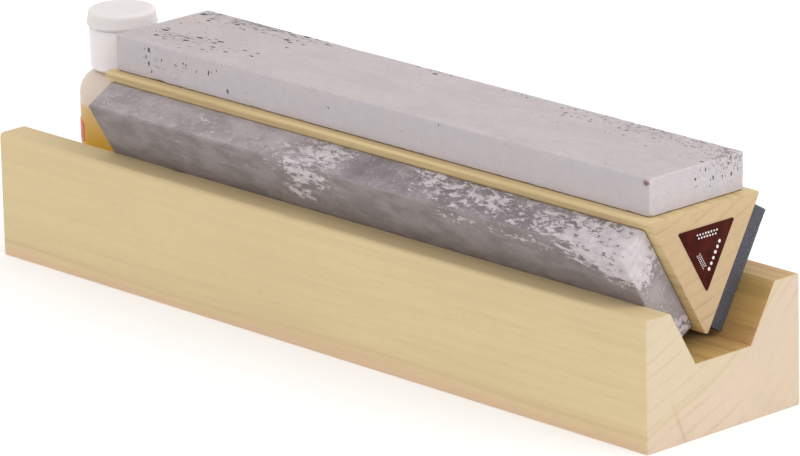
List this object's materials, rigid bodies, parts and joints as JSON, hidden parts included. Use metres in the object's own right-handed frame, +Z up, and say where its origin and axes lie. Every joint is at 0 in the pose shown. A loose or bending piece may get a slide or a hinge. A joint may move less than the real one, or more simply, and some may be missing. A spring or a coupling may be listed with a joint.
{
  "type": "three-stone sharpening station",
  "caption": "Wooden cradle with a V trough holding a triangular block with a sharpening stone on each face, and a small oil bottle with a screw cap and flip lid.",
  "frame": {"origin": "middle of the cradle's underside", "axes": "+X along the trough towards the labelled end, +Y from the fine stone's side to the coarse stone's side, +Z up"},
  "size_m": [0.25, 0.055, 0.0689],
  "materials": {
    "cradle_wood": "matte",
    "block_wood": "matte",
    "medium_stone": "matte",
    "fine_stone": "matte",
    "coarse_stone": "matte",
    "bond": "matte",
    "end_label": "satin",
    "bottle_plastic": "satin",
    "bottle_label": "satin",
    "oil": "gloss",
    "liner": "matte",
    "cap_plastic": "satin"
  },
  "bodies": {
    "cradle": {"cradle": "cradle_wood"},
    "stone_block": {"triangle_block": "block_wood", "medium_stone": "medium_stone", "fine_stone": "fine_stone", "coarse_stone": "coarse_stone", "medium_bond": "bond", "fine_bond": "bond", "coarse_bond": "bond", "end_label": "end_label"},
    "bottle": {"bottle_body": "bottle_plastic", "bottle_label": "bottle_label", "honing_oil": "oil"},
    "liner": {"cap_liner": "liner"},
    "cap": {"cap_body": "cap_plastic"},
    "lid": {"cap_lid": "cap_plastic"}
  },
  "joints": [
    {"name": "block_lift", "type": "slide", "parent": "cradle", "child": "stone_block", "axis": [0, 0, 1], "range_m": [0, 0.06]},
    {"name": "bottle_lift", "type": "slide", "parent": "cradle", "child": "bottle", "axis": [0, 0, 1], "range_m": [0, 0.06]},
    {"name": "cap_rise", "type": "slide", "parent": "bottle", "child": "liner", "axis": [0, 0, 1], "range_m": [0, 0.0051]},
    {"name": "cap_turn", "type": "hinge", "parent": "liner", "child": "cap", "pos_m": [-0.1037, 0, 0.05212], "axis": [0, 0, 1], "range_deg": [0, 720]},
    {"name": "lid_flip", "type": "hinge", "parent": "cap", "child": "lid", "pos_m": [-0.1143, 0, 0.06424], "axis": [0, -1, 0], "range_deg": [0, 150]}
  ],
  "couplings": [
    {"joint": "cap_rise", "follows": "cap_turn", "m_per_rad": 0.00039789}
  ]
}
